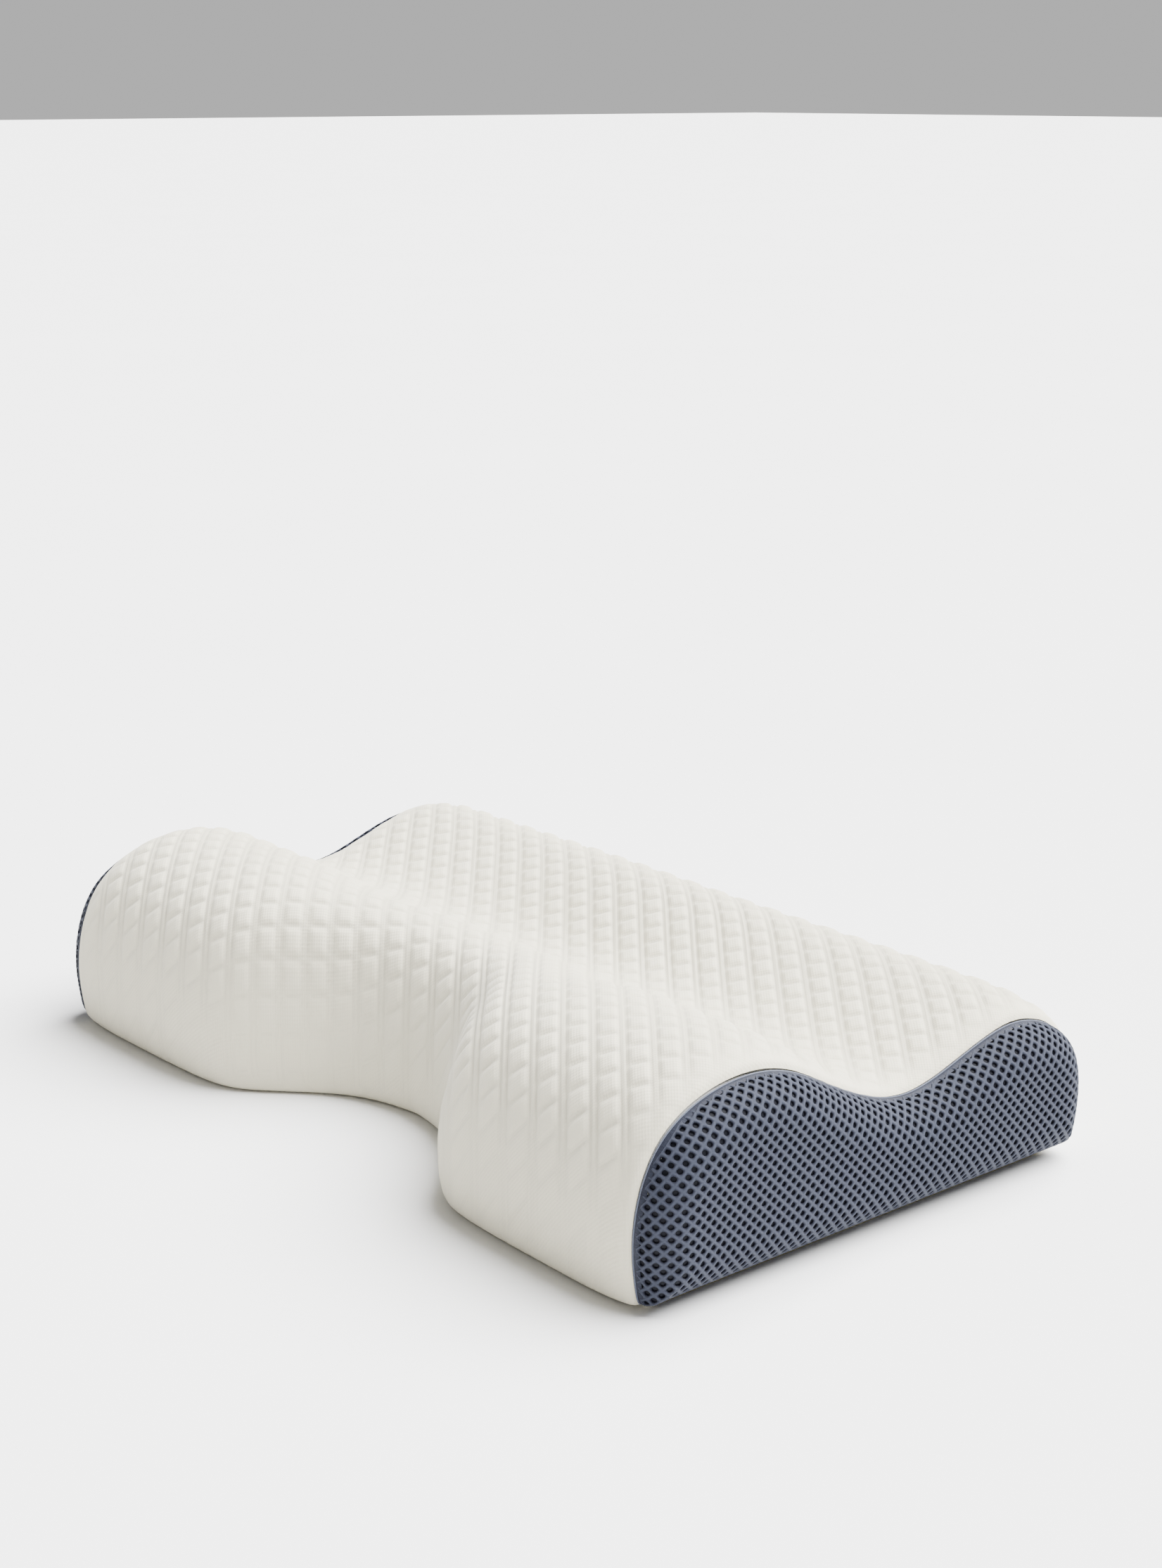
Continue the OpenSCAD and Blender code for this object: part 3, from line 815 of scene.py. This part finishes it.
liner = mesh_object("liner_bag", *closed_shell(LINER_IN, open_left=True), [liner_knit])
liner_cloth = liner.modifiers.new("thickness", "SOLIDIFY")
liner_cloth.thickness = LINER_THICK * MM
liner_cloth.offset = -1
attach(liner, "pillow")
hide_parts("inner_liner")

# ---- Zipper ----
COIL_PITCH, COIL_W, COIL_T, WIRE_R, MESH_SLOT = 1.6, 2.2, 1.4, 0.32, 1.2
coil_lo, coil_hi = (np.array(v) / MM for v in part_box("zipper_coil_upper"))


def coil(side, name):
    """A nylon coil: one wire in flattened turns, sewn along the tape's edge."""
    turns = int((coil_hi[0] - coil_lo[0]) / COIL_PITCH) - 1
    per_turn = 12
    t = np.arange(turns * per_turn + 1) / per_turn
    a = 2 * math.pi * t
    squash = np.cos(a)
    out = TAPE_Y + COIL_T / 2 + (COIL_T / 2 - WIRE_R) * np.sin(a)
    reach = COIL_W / 2 - WIRE_R
    z = ZIP_Z + side * ((MESH_SLOT + COIL_W) / 2 - reach * np.sign(squash) * np.abs(squash) ** 0.7)
    x = coil_lo[0] + COIL_PITCH * (0.8 + t) + (0.4 if side > 0 else 0)
    parts = [tube(np.column_stack([x, out, z]), WIRE_R, 6, up=(1, 0, 0))]
    cord_z = ZIP_Z + side * (MESH_SLOT + COIL_W) / 2
    cord = [[v, TAPE_Y + COIL_T / 2, cord_z] for v in np.linspace(coil_lo[0] + 1, coil_hi[0] - 1, 60)]
    parts.append(tube(cord, 0.3, 6))
    return mesh_object(name, *joined(parts), [coil_nylon])


TAPE_POINTS = 12


def tape(side, name):
    """A flat woven tape with five fine ribs along it."""
    lo, hi = (np.array(v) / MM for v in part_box(name.replace("woven_tape", "zipper_tape")))
    xs = np.linspace(lo[0], hi[0], 240)
    s = np.linspace(0, 1, TAPE_POINTS)
    z = mix(lo[2], hi[2], s) if side < 0 else mix(hi[2], lo[2], s)
    rib = 0.06 * np.sin(s * 2 * math.pi * 5)
    front = hi[1] - 0.08 + rib
    rows = []
    for x in xs:
        ripple = 0.05 * math.sin(x / 9)
        top = np.column_stack([np.full(TAPE_POINTS, x), front + ripple, z])
        flat_back = np.full(TAPE_POINTS, lo[1])
        under = np.column_stack([np.full(TAPE_POINTS, x), flat_back, z])[::-1]
        rows.append(np.concatenate([top, under]))
    rows = np.array(rows)
    count = rows.shape[1]
    faces = grid_faces(len(rows), count, closed=True)
    faces = (faces if side < 0 else faces[:, ::-1]).tolist()
    last = (len(rows) - 1) * count
    first_cap, last_cap = list(range(count)), list(range(last, last + count))
    faces += [first_cap[::-1], last_cap] if side > 0 else [first_cap, last_cap[::-1]]
    return mesh_object(name, rows.reshape(-1, 3), faces, [tape_weave])


def zip_stitches(side, name):
    """Lockstitches that hold the knit's edge to the tape."""
    source = "zip_stitching_upper" if side > 0 else "zip_stitching_lower"
    lo, hi = (np.array(v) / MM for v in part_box(source))
    pitch, length = 4.0, 2.8
    z = (lo[2] + hi[2]) / 2
    parts = []
    for x in np.arange(lo[0], hi[0] - length + 0.1, pitch):
        s = np.linspace(0, 1, 6)
        arch = TAPE_Y + 0.12 + 0.22 * np.sin(math.pi * s)
        parts.append(tube(np.column_stack([x + s * length, arch, np.full(6, z)]), 0.2, 6))
    return mesh_object(name, *joined(parts), [seam_cream])


for side, word in ((1, "upper"), (-1, "lower")):
    for make, piece_name, node, slot in (
        (coil, f"nylon_coil_{word}", f"zipper_coil_{word}", "zip_coil"),
        (tape, f"woven_tape_{word}", f"zipper_tape_{word}", "zip_tape"),
        (zip_stitches, f"zip_thread_{word}", f"zip_stitching_{word}", "thread"),
    ):
        piece = make(side, piece_name)
        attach(piece, "pillow")
        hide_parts(node)

for node in ("zipper_slider", "zipper_pull", "zipper_top_stop", "zipper_bottom_stop"):
    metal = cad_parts[node]
    metal.data.materials.clear()
    metal.data.materials.append(zip_alloy)


# ---- Care label ----
LABEL_STEPS, LABEL_THICK_M = 40, 0.0003


def care_label():
    """A blank satin ribbon, folded out of the slit's lower edge and curling a little."""
    lo, hi = (np.array(v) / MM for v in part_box("care_label"))
    s = np.linspace(0, 1, LABEL_STEPS)
    across = np.linspace(lo[0], hi[0], 17)
    fold = 0.16
    y = np.where(s < fold, lo[1] + 0.3 + (hi[1] - lo[1] - 0.6) * np.sin(s / fold * math.pi / 2),
                 hi[1] - 0.3 - 0.9 * smooth((s - fold) / (1 - fold)))
    z = np.where(s < fold, hi[2] - 0.2 - 0.9 * (1 - np.cos(s / fold * math.pi / 2)),
                 mix(hi[2] - 1.1, lo[2] + 0.2, (s - fold) / (1 - fold)))
    rows = np.array([
        np.column_stack([np.full(LABEL_STEPS, x), y + 0.25 * s * math.sin(3 * (x - lo[0]) / 16), z])
        for x in across
    ])
    faces = grid_faces(*rows.shape[:2]).tolist()
    obj = mesh_object("label_ribbon", rows.reshape(-1, 3), faces, [label_satin])
    thick = obj.modifiers.new("thickness", "SOLIDIFY")
    thick.thickness = LABEL_THICK_M
    thick.offset = -1
    return obj


label = care_label()
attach(label, "pillow")
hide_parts("care_label")

# ---- Floor, light and camera ----
floor_mat = new_material("floor_pale", (0.86, 0.86, 0.86), 0.9)
floor_nodes = Nodes(floor_mat)
floor_place = floor_nodes.add("ShaderNodeTexCoord").outputs["Object"]
floor_nodes.link(
    floor_nodes.ramp(floor_nodes.noise(floor_place, 2), [(0.3, (0.85,) * 3), (0.7, (0.87,) * 3)]),
    floor_nodes.shader.inputs["Base Color"],
)
FLOOR = 40000
floor = mesh_object(
    "floor", [[-FLOOR, -FLOOR, 0], [FLOOR, -FLOOR, 0], [FLOOR, FLOOR, 0], [-FLOOR, FLOOR, 0]],
    [[0, 1, 2, 3]], [floor_mat],
)

# The Background's colour is left at its default, a dark grey of about 0.05, so these
# strengths light the scene at about a twentieth of their value, and the world shows
# as a mid-grey band above the horizon.
BACKDROP, SKY = 11.0, 6.6
world = bpy.data.worlds.new("studio")
bpy.context.scene.world = world
world.use_nodes = True
tree = world.node_tree
direction = tree.nodes.new("ShaderNodeTexCoord")
split = tree.nodes.new("ShaderNodeSeparateXYZ")
height = tree.nodes.new("ShaderNodeMapRange")
height.inputs["From Min"].default_value = 0.06
height.inputs["From Max"].default_value = 0.16
height.inputs["To Min"].default_value = BACKDROP
height.inputs["To Max"].default_value = SKY
tree.links.new(direction.outputs["Generated"], split.inputs[0])
tree.links.new(split.outputs[2], height.inputs["Value"])
tree.links.new(height.outputs[0], tree.nodes["Background"].inputs["Strength"])

SUN_FROM, SUN_POWER, SUN_ANGLE = (0.30, 0.80, 1.30), 20.5, 60
sun_data = bpy.data.lights.new("key", "SUN")
sun_data.energy = SUN_POWER
sun_data.angle = math.radians(SUN_ANGLE)
sun = bpy.data.objects.new("key", sun_data)
bpy.context.scene.collection.objects.link(sun)
sun.rotation_euler = (
    math.atan2(math.hypot(SUN_FROM[0], SUN_FROM[1]), SUN_FROM[2]),
    0,
    math.atan2(SUN_FROM[1], SUN_FROM[0]) + math.pi / 2,
)

AZIMUTH, ELEVATION = math.radians(48.99), math.radians(15.74)
DISTANCE, TARGET = 2.005, (-0.3368, 0.3274, 0.060)
SENSOR, LENS = 36, 56.96

camera_data = bpy.data.cameras.new("camera")
camera_data.sensor_width = SENSOR
camera_data.lens = LENS
camera_data.clip_end = 200
camera = bpy.data.objects.new("camera", camera_data)
bpy.context.scene.collection.objects.link(camera)
camera.location = (
    TARGET[0] + DISTANCE * math.sin(AZIMUTH) * math.cos(ELEVATION),
    TARGET[1] - DISTANCE * math.cos(AZIMUTH) * math.cos(ELEVATION),
    TARGET[2] + DISTANCE * math.sin(ELEVATION),
)
camera.rotation_euler = (math.pi / 2 - ELEVATION, 0, AZIMUTH)
bpy.context.scene.camera = camera
